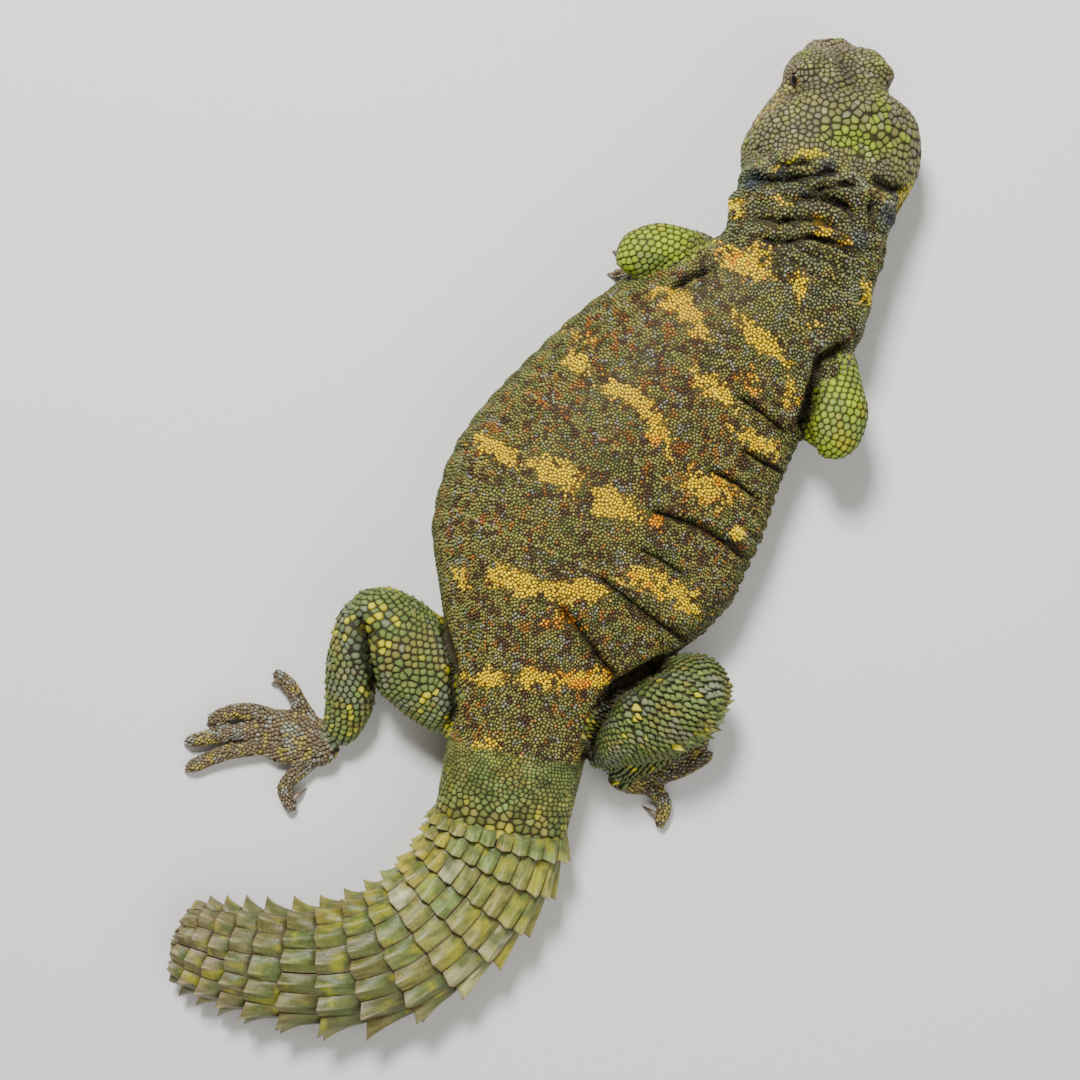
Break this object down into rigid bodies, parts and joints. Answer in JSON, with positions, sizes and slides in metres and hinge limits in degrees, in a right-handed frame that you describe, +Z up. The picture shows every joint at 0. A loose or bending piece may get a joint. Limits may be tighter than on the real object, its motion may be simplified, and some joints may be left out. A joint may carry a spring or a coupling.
{
  "type": "ornate mastigure lizard",
  "caption": "Life-size resting spiny-tailed lizard with a broad flat body, short blunt head, spread hind feet and a thick tail curled to one side, ringed with keeled spiny scales.",
  "frame": {"origin": "on the floor, under the middle of the animal's bounding box", "axes": "+Y ahead, the way the head points, +X the animal's right, +Z up from the floor it rests on"},
  "size_m": [0.1828, 0.245, 0.035],
  "materials": {
    "head_scales": "satin polygonal scales, olive and lime green with dark seams",
    "body_scales": "matt granular scales, olive, grey-green and dark brown with broken yellow and orange bars",
    "tail_scales": "satin keeled scales in rings, olive green with pale yellow edges",
    "limb_scales": "satin overlapping scales, lime green on the arms, dark green with yellow spots on the thighs",
    "eye": "wet gloss"
  },
  "bodies": {
    "root": {"head": "head_scales", "eye_left": "eye", "eye_right": "eye", "neck": "body_scales", "chest": "body_scales", "belly": "body_scales", "loins": "body_scales", "pelvis": "body_scales", "tail_1": "tail_scales", "tail_2": "tail_scales", "tail_3": "tail_scales", "tail_4": "tail_scales", "tail_5": "tail_scales", "upper_arm_left": "limb_scales", "upper_arm_right": "limb_scales", "forearm_left": "limb_scales", "forearm_right": "limb_scales", "hand_left": "limb_scales", "hand_right": "limb_scales", "thigh_left": "limb_scales", "thigh_right": "limb_scales", "shin_left": "limb_scales", "shin_right": "limb_scales", "foot_left": "limb_scales", "foot_right": "limb_scales"}
  },
  "joints": []
}
